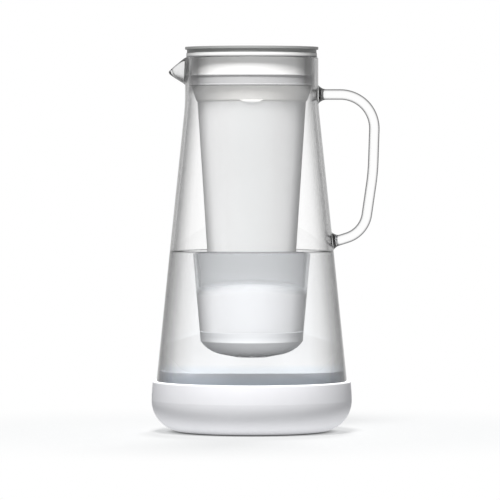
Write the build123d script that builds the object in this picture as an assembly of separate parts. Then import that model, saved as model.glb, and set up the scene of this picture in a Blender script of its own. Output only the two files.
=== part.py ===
"""Glass water filter pitcher with a flip lid.

Millimetres. The axis of the jug is Z, the table is z = 0, the spout points to -X and the
handle to +X. Each function below makes one piece and returns its solid.
"""
from build123d import *
from math import cos, radians, sin, sqrt
import os

# ---- Driving dimensions ---------------------------------------------------------------

# Glass jug
RIM_Z = 262.0            # top of the glass
RIM_R = 46.6             # outside of the straight neck
NECK_LOW_Z = 229.0       # where the neck turns into the cone
CONE_MID_Z = 131.0       # below this the cone opens a little faster
CONE_MID_R = 56.9
GLASS_LOW_Z = 24.0       # where the cone turns into the rounded foot
GLASS_LOW_R = 67.9
FOOT_R = 19.0            # radius of the glass foot's corner
GLASS_WALL = 2.4
GLASS_FLOOR = 4.0

# Spout, a beak pulled out of the wall
SPOUT_TIP_X = -58.4
SPOUT_TIP_Z = 252.6
SPOUT_RISE = 0.80        # climb of its lips towards the rim, per mm
SPOUT_FALL = 0.60        # drop of its keel towards the wall, per mm
SPOUT_SPREAD = 0.78      # half width gained, per mm
SPOUT_NOSE = 1.6         # half width of the blunt tip
SPOUT_ROOT_X = -43.0

# Handle, a bent glass rod welded on at both ends
ROD_R = 3.7
ROD_POINTS = [(42.0, 235.8), (72.5, 235.8), (86.1, 221.0), (84.8, 181.0), (78.8, 139.5), (51.0, 131.7)]
ROD_BENDS = [24.0, 24.0, 150.0, 20.0]
WELD_R = 7.6             # the rod flares to this where it meets the wall
WELD_LENGTH = 6.0
WELD_ROOT = 9.0          # the flare's length inside the wall, cut away
LOW_WELD_X = 55.6        # where the lower flare is widest

# Silicone boot
BOOT_TOP_Z = 35.4
BOOT_TOP_R = 69.3
BOOT_RIM_ROUND = 1.2
BOOT_WIDE_Z = 22.0
BOOT_WIDE_R = 70.1
BOOT_CORNER = 22.0
BOOT_FLOOR = 3.0

# Collar that hangs in the neck and carries the lid and the hopper
SEAL_T = 0.8             # soft washer between the glass and the collar
FLANGE_T = 1.8
FLANGE_R = 45.7
COLLAR_R = 42.1          # outside of the collar's skirt
COLLAR_BORE_R = 39.6
COLLAR_LOW_Z = 241.4
GROOVE_TOP_Z = 249.5     # the wall seal sits below this
GROOVE_R = 41.0
SLEEVE_R = 43.2          # outside of the wall seal
LIP_R = 43.9             # the wall seal's two lips, just clear of the glass
LIP_T = 0.6

# Flip lid
LID_TOP_Z = 268.9
LID_R = 46.6
LID_DISC_T = 1.7
LID_GAP = 0.2            # running gap between lid and collar
LID_NECK_R = 45.3
PLUG_R = 38.4
PLUG_BORE_R = 35.6
PLUG_LOW_Z = 259.0
LID_SEAL_R = 37.4        # floor of the plug's groove
LID_SEAL_Z = (261.8, 263.4)
HINGE_OUT = 42.0         # the hinge line's distance from the axis, drawn on +X and then turned to the back
HINGE_Z = 267.0
KNUCKLE_R = 1.9
KNUCKLE_HALF = 8.0       # the lid's knuckle, to each side of the middle
LUG_HALF = 13.0          # the collar's lugs end here
PIN_R = 0.8
PIN_BORE_R = 0.85
SPLIT_X = 40.0           # the lid ends on this chord, the fixed land starts past it
LAND_BEVEL = 0.9         # takes the land's front edge out of the swinging lid's way

# Hopper, the upper tank
TAPER_Z = 69.0           # seam between hopper and cup
TAPER_R = 27.4
TAPER_SLOPE = 0.0652
HOPPER_WALL = 1.6
HOPPER_TOP_Z = 231.8     # foot of its top band
HOPPER_BAND_R = 38.9     # the band widens from this to the rim
HOPPER_RIM_Z = COLLAR_LOW_Z
HOPPER_RIM_R = 42.1
TAB_DROP = 2.2           # the front thumb tab hangs below the band by this
TAB_R = 15.8
SPIGOT_R = 39.2
SPIGOT_TOP_Z = 247.0
SPIGOT_GROOVE = 0.9
SPIGOT_SEAL_Z = (243.4, 245.4)
SEAT_T = 2.0
SEAT_BORE_R = 14.6
BAYONET_R = 24.0
BAYONET_WALL = 1.6
BAYONET_LOW_Z = 62.2
LUG_T = 1.4
LUG_OUT = 1.0            # how far the lugs stand out of the socket
LUG_ANGLE = 32.0
LEDGE_ANGLE = 50.0
LUG_COUNT = 3

# Filter cartridge that drops into the hopper
CART_GAP = 0.5
CART_EDGE_Z = 96.0       # foot of its dome
CART_DOME_RISE = 5.8
CART_WALL = 1.5
CART_STUB_R = 14.0
CART_STUB_LOW_Z = 66.5
DOME_SLOTS = 16
DOME_SLOT_HALF = 0.35    # half the width of a slot
FELT_T = 2.0
SCREEN_T = 0.6
SCREEN_PLAY = 0.3        # round the nets

# Membrane cup that twists onto the bottom of the hopper
CUP_LOW_Z = 51.1
CUP_SIDE_Z = 62.2
CUP_WALL = 1.6
CUP_FLAT_R = 8.0         # the flat middle of its floor
CUP_TURN_IN = 12.0       # the rounded corner starts this far inside its side
CUP_TURN_RISE = 1.8      # and this far above the flat
HOLDER_LOW_Z = 57.0      # the tube for the resin grows out of the floor here
CUP_HOLES = 12
CUP_HOLE_R = 1.5
CUP_HOLE_RING_R = 13.0
POTTING_R = 20.6         # resin disc that seals the hollow fibres
POTTING_LOW_Z = 63.0
POTTING_TOP_Z = 66.2
HOLDER_WALL = 1.0        # tube in the cup that the resin is cast in
CUP_SEAL_Z = (66.2, 67.8)

RUN_GAP = 0.3            # between pieces that move past each other


# ---- Helpers --------------------------------------------------------------------------

def turned(*edges):
    """A solid turned about Z from a closed outline of (r, z) edges."""
    outline = make_face(Plane.XZ * Curve(list(edges)))
    return revolve(outline, Axis.Z)


def path(*points):
    """Straight edges through (r, z) points."""
    return list(Polyline(*points).edges())


def ring(outer, inner, low, high):
    """A plain ring between two radii and two heights."""
    return turned(*path((inner, low), (outer, low), (outer, high), (inner, high), (inner, low)))


def disc(radius, low, high):
    """A plain disc on the axis."""
    return Pos(0, 0, (low + high) / 2) * Cylinder(radius, high - low)


def block(low, high):
    """A box from its two corners."""
    size = [b - a for a, b in zip(low, high)]
    middle = [(a + b) / 2 for a, b in zip(low, high)]
    return Pos(*middle) * Box(*size)


def crosswise(radius, y_low, y_high):
    """A cylinder along Y on the hinge line."""
    bar = Rot(90, 0, 0) * Cylinder(radius, y_high - y_low)
    return Pos(HINGE_OUT, (y_low + y_high) / 2, HINGE_Z) * bar


def to_back(piece):
    """Turns a piece that is drawn with its hinge on +X, so that the hinge is at the back, on +Y."""
    return Rot(0, 0, 90) * piece


def slab(points, half_width):
    """A straight bar along Y with this outline of (x, z) points."""
    outline = make_face(Plane.XZ * Curve(path(*points, points[0])))
    return extrude(outline, amount=half_width, both=True)


def around(piece, count):
    """Copies of a piece, evenly spaced about Z."""
    return [Rot(0, 0, 360 / count * i) * piece for i in range(count)]


def taper_r(z):
    """Outside radius of the hopper's long taper at a height."""
    return TAPER_R + TAPER_SLOPE * (z - TAPER_Z)


def sector(outer, inner, low, high, start, angle):
    """A slice of a ring that spans an angle in degrees."""
    whole = ring(outer, inner, low, high)
    reach = 2 * outer
    turns = [radians(angle * part) for part in (0, 0.5, 1)]
    fan = [(reach * cos(turn), reach * sin(turn)) for turn in turns]
    wedge = extrude(make_face(Polyline((0, 0), *fan, close=True)), amount=high + 1)
    return whole & (Rot(0, 0, start) * wedge)


# ---- Jug ------------------------------------------------------------------------------

def jug_body(inset):
    """The jug as a filled shape, drawn in from the outside by the wall's thickness."""
    floor = BOOT_FLOOR + (GLASS_FLOOR if inset else 0)
    top = RIM_Z + (1 if inset else 0)
    corner = FOOT_R - inset
    neck, low = RIM_R - inset, GLASS_LOW_R - inset
    middle = CONE_MID_R - inset
    corner_z = floor + corner
    bend = (low - corner * (1 - cos(radians(45))), corner_z - corner * sin(radians(45)))
    foot = ThreePointArc((low, corner_z), bend, (low - corner, floor))
    return turned(
        *path((low - corner, floor), (0, floor), (0, top), (neck, top), (neck, NECK_LOW_Z),
              (middle, CONE_MID_Z), (low, GLASS_LOW_Z), (low, corner_z)),
        foot,
    )


def spout_body(inset, lift):
    """The beak as a filled shape: half ellipses that shrink towards the tip."""
    sections = []
    for x in (SPOUT_ROOT_X, SPOUT_TIP_X + inset):
        run = x - SPOUT_TIP_X
        lip = SPOUT_TIP_Z + SPOUT_RISE * run
        wide = SPOUT_NOSE + SPOUT_SPREAD * run - inset
        deep = SPOUT_NOSE + (SPOUT_RISE + SPOUT_FALL) * run - inset
        plane = Plane(origin=(x, 0, lip), x_dir=(0, 1, 0), z_dir=(1, 0, 0))
        keel = EllipticalCenterArc((0, 0), wide, deep, 180, arc_size=180)
        lifted = [(wide, lift), (-wide, lift)] if lift else []
        sides = path((wide, 0), *lifted, (-wide, 0))
        sections.append(plane * make_face(Curve([keel, *sides])))
    return loft(sections, ruled=True)


def make_glass_jug():
    outside = jug_body(0) + (spout_body(0, 0) & block((-90, -60, 0), (0, 60, RIM_Z)))
    inside = jug_body(GLASS_WALL) + spout_body(GLASS_WALL * 0.6, 16.0)
    return outside - inside


def weld(point, towards):
    """The flare of melted glass where the rod meets the wall. It starts well inside the jug."""
    run = (Vector(*towards) - Vector(*point)).normalized()
    flare = (WELD_R - ROD_R) / WELD_LENGTH
    plane = Plane(origin=Vector(*point) - run * WELD_ROOT, z_dir=run)
    low_r = WELD_R + flare * WELD_ROOT
    length = WELD_LENGTH + WELD_ROOT + 0.2 / flare
    return plane * Cone(low_r, ROD_R - 0.2, length, align=(Align.CENTER, Align.CENTER, Align.MIN))


def rod_run_z(x):
    """Height of the rod's lowest run at a distance from the axis."""
    (high_x, high_z), (low_x, low_z) = ROD_POINTS[-2:]
    return low_z + (high_z - low_z) * (x - low_x) / (high_x - low_x)


def make_glass_handle():
    points = [(x, 0, z) for x, z in ROD_POINTS]
    route = FilletPolyline(*points, radius=ROD_BENDS)
    start = Plane(origin=route @ 0, z_dir=route % 0)
    rod = sweep(start * Circle(ROD_R), path=route)
    upper = weld((RIM_R - 0.2, 0, ROD_POINTS[0][1]), points[1])
    lower = weld((LOW_WELD_X, 0, rod_run_z(LOW_WELD_X)), points[4])
    return (rod + upper + lower) - jug_body(0)


def make_base_boot():
    corner_z = BOOT_CORNER
    centre_r = BOOT_WIDE_R - BOOT_CORNER
    bend = (centre_r + BOOT_CORNER * cos(radians(45)), corner_z - BOOT_CORNER * sin(radians(45)))
    lean = (BOOT_TOP_R + 0.62 * (BOOT_WIDE_R - BOOT_TOP_R), (BOOT_TOP_Z + BOOT_WIDE_Z) / 2)
    outside = turned(
        *path((centre_r, 0), (0, 0), (0, BOOT_TOP_Z), (BOOT_TOP_R - BOOT_RIM_ROUND, BOOT_TOP_Z)),
        ThreePointArc(
            (BOOT_TOP_R - BOOT_RIM_ROUND, BOOT_TOP_Z),
            (BOOT_TOP_R - 0.3 * BOOT_RIM_ROUND, BOOT_TOP_Z - 0.3 * BOOT_RIM_ROUND),
            (BOOT_TOP_R, BOOT_TOP_Z - BOOT_RIM_ROUND),
        ),
        ThreePointArc((BOOT_TOP_R, BOOT_TOP_Z - BOOT_RIM_ROUND), lean, (BOOT_WIDE_R, BOOT_WIDE_Z)),
        ThreePointArc((BOOT_WIDE_R, corner_z), bend, (centre_r, 0)),
    )
    return outside - jug_body(0)


# ---- Collar, seals and hinge ----------------------------------------------------------

FLANGE_LOW_Z = RIM_Z + SEAL_T
FLANGE_TOP_Z = FLANGE_LOW_Z + FLANGE_T
DISC_LOW_Z = LID_TOP_Z - LID_DISC_T


def lid_blank(low_z):
    """Disc and neck as one turned shape, from which the lid and the fixed land are cut."""
    return disc(LID_NECK_R, low_z, DISC_LOW_Z) + disc(LID_R, DISC_LOW_Z, LID_TOP_Z)


def make_rim_seal():
    return ring(FLANGE_R, COLLAR_R + 0.2, RIM_Z, FLANGE_LOW_Z)


def make_wall_seal():
    sleeve = ring(SLEEVE_R, GROOVE_R, COLLAR_LOW_Z + 0.3, GROOVE_TOP_Z)
    root_r = SLEEVE_R - 0.4
    lips = [
        turned(*path((root_r, z), (LIP_R, z + 0.3), (LIP_R, z + 0.3 + LIP_T),
                     (root_r, z + LIP_T + 0.6), (root_r, z)))
        for z in (COLLAR_LOW_Z + 0.3, GROOVE_TOP_Z - LIP_T - 0.6)
    ]
    return sleeve + lips


def make_collar_ring():
    skirt = turned(
        *path((COLLAR_BORE_R, COLLAR_LOW_Z), (GROOVE_R, COLLAR_LOW_Z), (GROOVE_R, GROOVE_TOP_Z),
              (COLLAR_R, GROOVE_TOP_Z), (COLLAR_R, FLANGE_LOW_Z), (FLANGE_R, FLANGE_LOW_Z),
              (FLANGE_R, FLANGE_TOP_Z), (COLLAR_BORE_R, FLANGE_TOP_Z), (COLLAR_BORE_R, COLLAR_LOW_Z))
    )
    land_x, land_z = SPLIT_X + RUN_GAP, LID_TOP_Z - RUN_GAP
    land_outline = [(land_x, FLANGE_TOP_Z - 1), (60, FLANGE_TOP_Z - 1), (60, land_z),
                    (land_x + LAND_BEVEL, land_z), (land_x, land_z - LAND_BEVEL)]
    land = lid_blank(FLANGE_TOP_Z) & slab(land_outline, 30)
    pocket = block((SPLIT_X, -LUG_HALF, FLANGE_TOP_Z), (HINGE_OUT + KNUCKLE_R + 0.4, LUG_HALF, LID_TOP_Z + 1))
    collar = skirt + land - pocket
    for side in (-1, 1):
        ends = sorted((side * (KNUCKLE_HALF + RUN_GAP), side * LUG_HALF))
        web = block((HINGE_OUT - 1.2, ends[0], FLANGE_TOP_Z - 0.4), (HINGE_OUT + 1.2, ends[1], HINGE_Z))
        collar = collar + crosswise(KNUCKLE_R, *ends) + web
    return to_back(collar - crosswise(PIN_BORE_R, -LUG_HALF - 1, LUG_HALF + 1))


def make_hinge_pin():
    reach = LUG_HALF - 0.2
    pin = crosswise(PIN_R, -reach, reach)
    return to_back(chamfer(pin.edges().filter_by(GeomType.CIRCLE), 0.2))


# ---- Flip lid -------------------------------------------------------------------------

def make_lid_disc():
    blank = lid_blank(FLANGE_TOP_Z + LID_GAP) - disc(LID_NECK_R - 2.2, 0, DISC_LOW_Z)
    dish = disc(LID_R - 3.0, LID_TOP_Z - 0.4, LID_TOP_Z + 1)
    chord = block((SPLIT_X, -60, 0), (60, 60, 300))
    bridge = block((SPLIT_X - 3, -KNUCKLE_HALF, DISC_LOW_Z), (HINGE_OUT, KNUCKLE_HALF, LID_TOP_Z - 0.4))
    lid = blank - dish - chord + bridge + crosswise(KNUCKLE_R, -KNUCKLE_HALF, KNUCKLE_HALF)
    return to_back(lid - crosswise(PIN_BORE_R, -KNUCKLE_HALF - 1, KNUCKLE_HALF + 1))


def make_lid_plug():
    top = DISC_LOW_Z
    seat = FLANGE_TOP_Z + LID_GAP
    groove_low, groove_high = LID_SEAL_Z
    plug = turned(
        *path((0, top), (LID_NECK_R - 2.4, top), (LID_NECK_R - 2.4, seat), (PLUG_R, seat),
              (PLUG_R, groove_high), (LID_SEAL_R, groove_high), (LID_SEAL_R, groove_low),
              (PLUG_R, groove_low), (PLUG_R, PLUG_LOW_Z + 0.8), (PLUG_R - 0.8, PLUG_LOW_Z),
              (PLUG_BORE_R, PLUG_LOW_Z), (PLUG_BORE_R, seat), (0, seat), (0, top))
    )
    return to_back(plug & block((-60, -60, 0), (SPLIT_X - 0.4, 60, 300)))


def make_lid_seal():
    return ring(COLLAR_BORE_R - RUN_GAP, LID_SEAL_R, *LID_SEAL_Z)


# ---- Hopper ---------------------------------------------------------------------------

def make_hopper():
    wall = HOPPER_WALL
    bore = SPIGOT_R - 1.8
    step_z = HOPPER_TOP_Z - 1.2
    shoulder_z = HOPPER_TOP_Z - 3.0
    inner_low = taper_r(TAPER_Z + SEAT_T) - wall
    tank = turned(
        *path((taper_r(TAPER_Z), TAPER_Z), (taper_r(step_z), step_z), (HOPPER_BAND_R, HOPPER_TOP_Z),
              (HOPPER_RIM_R, HOPPER_RIM_Z), (SPIGOT_R, HOPPER_RIM_Z), (SPIGOT_R, SPIGOT_TOP_Z),
              (bore, SPIGOT_TOP_Z), (bore, HOPPER_TOP_Z + 2), (taper_r(shoulder_z) - wall, shoulder_z),
              (inner_low, TAPER_Z + SEAT_T), (SEAT_BORE_R, TAPER_Z + SEAT_T),
              (SEAT_BORE_R, TAPER_Z), (TAPER_R, TAPER_Z))
    )
    socket = ring(BAYONET_R, BAYONET_R - BAYONET_WALL, BAYONET_LOW_Z, TAPER_Z + 0.5)
    lug = sector(BAYONET_R + LUG_OUT, BAYONET_R - 0.4, BAYONET_LOW_Z, BAYONET_LOW_Z + LUG_T, 0, LUG_ANGLE)
    tab_low = HOPPER_TOP_Z - TAB_DROP
    tab_round = Pos(0, -HOPPER_BAND_R, tab_low + TAB_R) * Rot(90, 0, 0) * Cylinder(TAB_R, 12)
    tab = ring(HOPPER_BAND_R, HOPPER_BAND_R - 1.6, tab_low - 1, HOPPER_TOP_Z + 0.3) & tab_round
    groove = ring(SPIGOT_R + 1, SPIGOT_R - SPIGOT_GROOVE, *SPIGOT_SEAL_Z)
    return tank + socket + around(lug, LUG_COUNT) + tab - groove


def make_hopper_seal():
    return ring(COLLAR_BORE_R, SPIGOT_R - SPIGOT_GROOVE, *SPIGOT_SEAL_Z)


# ---- Filter cartridge -----------------------------------------------------------------

def cart_r(z):
    """Outside radius of the cartridge at a height, just inside the hopper."""
    return taper_r(z) - HOPPER_WALL - CART_GAP


CART_FLOOR_Z = TAPER_Z + SEAT_T + 1.2
CARBON_LOW_Z = CART_FLOOR_Z + CART_WALL + SCREEN_T + FELT_T
CARBON_TOP_Z = CART_EDGE_Z - 2.0 - FELT_T - SCREEN_T


def make_cartridge_shell():
    low, wall = CART_FLOOR_Z, CART_WALL
    return turned(
        *path((CART_STUB_R - wall, CART_STUB_LOW_Z), (CART_STUB_R, CART_STUB_LOW_Z), (CART_STUB_R, low),
              (cart_r(low), low), (cart_r(CART_EDGE_Z), CART_EDGE_Z), (cart_r(CART_EDGE_Z) - wall, CART_EDGE_Z),
              (cart_r(low) - wall, low + wall), (CART_STUB_R - wall, low + wall),
              (CART_STUB_R - wall, CART_STUB_LOW_Z))
    )


def dome_sphere_r(base_r):
    return (base_r ** 2 + CART_DOME_RISE ** 2) / (2 * CART_DOME_RISE)


def make_cartridge_dome():
    base_r = cart_r(CART_EDGE_Z)
    ball = dome_sphere_r(base_r)
    top_z = CART_EDGE_Z + CART_DOME_RISE
    middle = Pos(0, 0, top_z - ball)
    cap = (middle * Sphere(ball)) & disc(base_r + 1, CART_EDGE_Z, top_z + 1)
    hollow = (middle * Sphere(ball - CART_WALL)) & disc(base_r, CART_EDGE_Z - 1, top_z + 1)
    spigot_r = cart_r(CART_EDGE_Z - 2) - CART_WALL - 0.1
    spigot = ring(spigot_r, spigot_r - 1.2, CART_EDGE_Z - 2, CART_EDGE_Z + 1.2)
    slot = block((9, -DOME_SLOT_HALF, CART_EDGE_Z + 1.5), (21, DOME_SLOT_HALF, top_z + 1))
    return cap - hollow + spigot - around(slot, DOME_SLOTS)


def make_bed(low, high, clearance=0.1):
    """A puck that fills the cartridge between two heights."""
    inner = CART_WALL + clearance
    low_r, high_r = cart_r(low) - inner, cart_r(high) - inner
    return turned(*path((0, low), (low_r, low), (high_r, high), (0, high), (0, low)))


def make_screen(low, radius):
    """A round net of square holes in a thin disc."""
    bar, pitch = 0.9, 4.2
    count = int(radius * 2 / pitch)
    first = -pitch * (count - 1) / 2
    net = disc(radius, low, low + SCREEN_T)
    hole = Box(pitch - bar, pitch - bar, SCREEN_T * 3)
    holes = []
    for i in range(count):
        for j in range(count):
            x, y = first + i * pitch, first + j * pitch
            if sqrt(x * x + y * y) < radius - pitch:
                holes.append(Pos(x, y, low + SCREEN_T / 2) * hole)
    return net - holes


def make_inlet_screen():
    return make_screen(CARBON_TOP_Z + FELT_T, cart_r(CARBON_TOP_Z) - CART_WALL - SCREEN_PLAY)


def make_outlet_screen():
    return make_screen(CART_FLOOR_Z + CART_WALL, cart_r(CART_FLOOR_Z) - CART_WALL - SCREEN_PLAY)


def make_cartridge_seal():
    return ring(CART_STUB_R + 4.0, CART_STUB_R, TAPER_Z + SEAT_T, CART_FLOOR_Z)


# ---- Membrane cup ---------------------------------------------------------------------

def cup_outline(inset):
    """The bowl's filled shape, drawn in by a wall."""
    side_r = TAPER_R - inset
    low = CUP_LOW_Z + inset
    top = TAPER_Z - RUN_GAP / 2
    turn_r, turn_z = side_r - CUP_TURN_IN, low + CUP_TURN_RISE
    shoulder = (side_r - 0.4, CUP_SIDE_Z)
    knee = (turn_r + 0.70 * (shoulder[0] - turn_r), turn_z + 0.47 * (shoulder[1] - turn_z))
    return turned(
        *path((turn_r, turn_z), (CUP_FLAT_R, low), (0, low), (0, top), (side_r, top), shoulder),
        ThreePointArc(shoulder, knee, (turn_r, turn_z)),
    )


def make_cup_shell():
    ledge = sector(
        TAPER_R - CUP_WALL + 0.2, BAYONET_R + RUN_GAP, BAYONET_LOW_Z + LUG_T + 0.4,
        BAYONET_LOW_Z + 2 * LUG_T + 0.4, -(LEDGE_ANGLE - LUG_ANGLE) / 2, LEDGE_ANGLE,
    )
    hole = Pos(CUP_HOLE_RING_R, 0, CUP_LOW_Z) * Cylinder(CUP_HOLE_R, 12)
    bowl = cup_outline(0) - cup_outline(CUP_WALL) - disc(TAPER_R - CUP_WALL, CUP_SIDE_Z, TAPER_Z + 1)
    holder = ring(POTTING_R + HOLDER_WALL, POTTING_R, HOLDER_LOW_Z, POTTING_TOP_Z)
    return bowl + holder + around(ledge, LUG_COUNT) - around(hole, CUP_HOLES)


def make_potting_disc():
    return disc(POTTING_R - 0.05, POTTING_LOW_Z, POTTING_TOP_Z)


def make_fibre_bundle():
    bundle = disc(POTTING_R - 2.0, CUP_LOW_Z + 4.5, POTTING_LOW_Z)
    low_edge = bundle.edges().filter_by(GeomType.CIRCLE).sort_by(Axis.Z)[0]
    return fillet(low_edge, 5.0)


def make_cup_seal():
    return ring(TAPER_R - CUP_WALL - RUN_GAP, BAYONET_R, *CUP_SEAL_Z)


# ---- Write one file for each piece ----------------------------------------------------

PIECES = {
    "glass_jug": make_glass_jug,
    "glass_handle": make_glass_handle,
    "base_boot": make_base_boot,
    "rim_seal": make_rim_seal,
    "wall_seal": make_wall_seal,
    "collar_ring": make_collar_ring,
    "hinge_pin": make_hinge_pin,
    "lid_disc": make_lid_disc,
    "lid_plug": make_lid_plug,
    "lid_seal": make_lid_seal,
    "hopper": make_hopper,
    "hopper_seal": make_hopper_seal,
    "cartridge_shell": make_cartridge_shell,
    "cartridge_dome": make_cartridge_dome,
    "inlet_screen": make_inlet_screen,
    "upper_felt": lambda: make_bed(CARBON_TOP_Z, CARBON_TOP_Z + FELT_T),
    "carbon_bed": lambda: make_bed(CARBON_LOW_Z, CARBON_TOP_Z),
    "lower_felt": lambda: make_bed(CARBON_LOW_Z - FELT_T, CARBON_LOW_Z),
    "outlet_screen": make_outlet_screen,
    "cartridge_seal": make_cartridge_seal,
    "cup_shell": make_cup_shell,
    "potting_disc": make_potting_disc,
    "fibre_bundle": make_fibre_bundle,
    "cup_seal": make_cup_seal,
}

os.makedirs("parts", exist_ok=True)
for node, make in PIECES.items():
    export_step(make(), f"parts/{node}.step")
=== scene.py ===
# %% [markdown]
# # A glass water filter pitcher
# This scene dresses a measured CAD model of a tall glass jug. A filter hangs in the jug's neck, and a
# white boot holds its foot. The CAD model gives every place and size. Blender gives what the eye
# reads first: clear glass, water that bends what stands in it, frosted and plain plastic, soft
# silicone. Blender works in metres with the table at height zero. Sizes of the object are written in
# millimetres, and MM turns them into metres.

# %% Load the fixed frame
import math

import bmesh
import bpy
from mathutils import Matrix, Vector


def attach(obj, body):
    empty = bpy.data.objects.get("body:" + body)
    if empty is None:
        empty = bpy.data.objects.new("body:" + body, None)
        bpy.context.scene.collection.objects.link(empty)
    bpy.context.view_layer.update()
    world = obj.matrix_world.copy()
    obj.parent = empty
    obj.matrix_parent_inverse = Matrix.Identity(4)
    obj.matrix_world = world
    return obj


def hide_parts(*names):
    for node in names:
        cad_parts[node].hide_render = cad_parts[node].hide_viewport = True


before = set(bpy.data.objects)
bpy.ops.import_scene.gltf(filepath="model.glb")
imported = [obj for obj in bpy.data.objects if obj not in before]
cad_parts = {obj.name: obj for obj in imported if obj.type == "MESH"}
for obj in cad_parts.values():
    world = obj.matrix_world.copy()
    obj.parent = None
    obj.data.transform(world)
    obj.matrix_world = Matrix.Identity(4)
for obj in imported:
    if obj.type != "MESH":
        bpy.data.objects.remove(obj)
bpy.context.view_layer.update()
MM = 0.001

# %% [markdown]
# ## The camera
# A product photographer stands far back with a long lens, so the jug's sides stay true. The camera is
# about three metres away and 190 mm above the table. The lens is worked out from the width that the
# picture covers on the jug's axis.

# %% Camera
PICTURE_SIDE = 500
MM_PER_PIXEL = 0.70
SENSOR_WIDTH = 36.0
camera_place = Vector((-0.0012, -3.15, 0.192))
camera_aim = Vector((-0.0012, 0.0, 0.127))
picture_width = PICTURE_SIDE * MM_PER_PIXEL * MM
camera_data = bpy.data.cameras.new("camera")
camera_data.sensor_width = SENSOR_WIDTH
camera_data.lens = SENSOR_WIDTH * (camera_aim - camera_place).length / picture_width
camera = bpy.data.objects.new("camera", camera_data)
camera.location = camera_place
camera.rotation_euler = (camera_aim - camera_place).to_track_quat("-Z", "Y").to_euler()
bpy.context.scene.collection.objects.link(camera)
bpy.context.scene.camera = camera
bpy.context.scene.view_settings.view_transform = "Standard"
print("lens", round(camera_data.lens, 1), "mm")

# %% [markdown]
# ## Writing nodes as sums
# A node tree is a drawing of a formula, and a formula is easier to read as text. Two small classes do
# that. A `Wire` is one output of a node, and sums on it add Math nodes. A `Tree` adds every other
# node, sets its options first and then fills its sockets with numbers, colours or wires.

# %% Node helpers
class Wire:
    """One output of a node. Sums on it add Math nodes to its tree."""

    def __init__(self, tree, socket):
        self.tree = tree
        self.socket = socket

    def __add__(self, other):
        return self.tree.maths("ADD", self, other)

    def __radd__(self, other):
        return self.tree.maths("ADD", other, self)

    def __sub__(self, other):
        return self.tree.maths("SUBTRACT", self, other)

    def __rsub__(self, other):
        return self.tree.maths("SUBTRACT", other, self)

    def __mul__(self, other):
        return self.tree.maths("MULTIPLY", self, other)

    def __rmul__(self, other):
        return self.tree.maths("MULTIPLY", other, self)

    def __truediv__(self, other):
        return self.tree.maths("DIVIDE", self, other)

    def __pow__(self, other):
        return self.tree.maths("POWER", self, other)

    def at_most(self, other):
        return self.tree.maths("MINIMUM", self, other)

    def at_least(self, other):
        return self.tree.maths("MAXIMUM", self, other)


class Tree:
    """A node tree under construction."""

    def __init__(self, nodes):
        self.nodes = nodes
        nodes.nodes.clear()

    def node(self, kind, settings=None, values=None, output=0):
        """Adds a node with these options and inputs, and gives the wire of one output."""
        made = self.nodes.nodes.new(kind)
        for name, value in (settings or {}).items():
            if name == "stops":
                set_stops(made.color_ramp, value)
            else:
                setattr(made, name, value)
        for key, value in (values or {}).items():
            self.fill(find_socket(made.inputs, key), value)
        return Wire(self, find_socket(made.outputs, output)) if made.outputs else made

    def fill(self, socket, value):
        """Links a wire to a socket, or writes a number or colour in it."""
        if isinstance(value, Wire):
            self.nodes.links.new(value.socket, socket)
        elif isinstance(value, tuple) and socket.type == "RGBA":
            socket.default_value = (*value[:3], 1.0)
        else:
            socket.default_value = value

    def maths(self, operation, *terms):
        """A Math node on wires and numbers."""
        return self.node("ShaderNodeMath", {"operation": operation}, dict(enumerate(terms)))


def find_socket(sockets, key):
    """A socket by its number, or the first one in use with that name."""
    if isinstance(key, int):
        return sockets[key]
    return next(socket for socket in sockets if socket.name == key and socket.enabled)


def set_stops(shades, stops):
    """Writes a colour ramp as (position, grey or colour) pairs."""
    while len(shades.elements) > len(stops):
        shades.elements.remove(shades.elements[-1])
    while len(shades.elements) < len(stops):
        shades.elements.new(0.5)
    for element, (position, shade) in zip(shades.elements, stops):
        element.position = position
        element.color = (*shade, 1.0) if isinstance(shade, tuple) else (shade, shade, shade, 1.0)


print("node helpers ready")

# %% [markdown]
# ## The white room
# The object stands on a pale floor in front of a white background. The world is white for rays that
# come straight from the camera or through glass, and a little darker in mirror-like reflections. It is
# far quieter for the light that falls on the object. The background is then white without too much
# light on the plastic.

# %% World
AMBIENT = 0.0974
AMBIENT_TINT = (0.93, 0.96, 1.0)
MIRROR_WHITE = 0.8315
PURE_WHITE = (1.0, 1.0, 1.0)


def ray_is(tree, kind):
    """1 for rays of this kind and 0 for the rest."""
    return tree.node("ShaderNodeLightPath", output=f"Is {kind} Ray")


def seen_mask(tree):
    """1 for rays from the camera, from a reflection and through glass, 0 for the rest."""
    return (ray_is(tree, "Camera") + ray_is(tree, "Glossy") + ray_is(tree, "Transmission")).at_most(1.0)


world = bpy.data.worlds.new("white_room")
world.use_nodes = True
bpy.context.scene.world = world
room = Tree(world.node_tree)
quiet = room.node("ShaderNodeBackground", {}, {"Color": AMBIENT_TINT, "Strength": AMBIENT})
whiteness = (ray_is(room, "Camera") + ray_is(room, "Transmission")).at_least(MIRROR_WHITE)
white = room.node("ShaderNodeBackground", {}, {"Color": PURE_WHITE, "Strength": whiteness})
both = room.node("ShaderNodeMixShader", {}, {0: seen_mask(room), 1: quiet, 2: white})
room.node("ShaderNodeOutputWorld", {}, {"Surface": both})
print("world nodes", len(world.node_tree.nodes))
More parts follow.
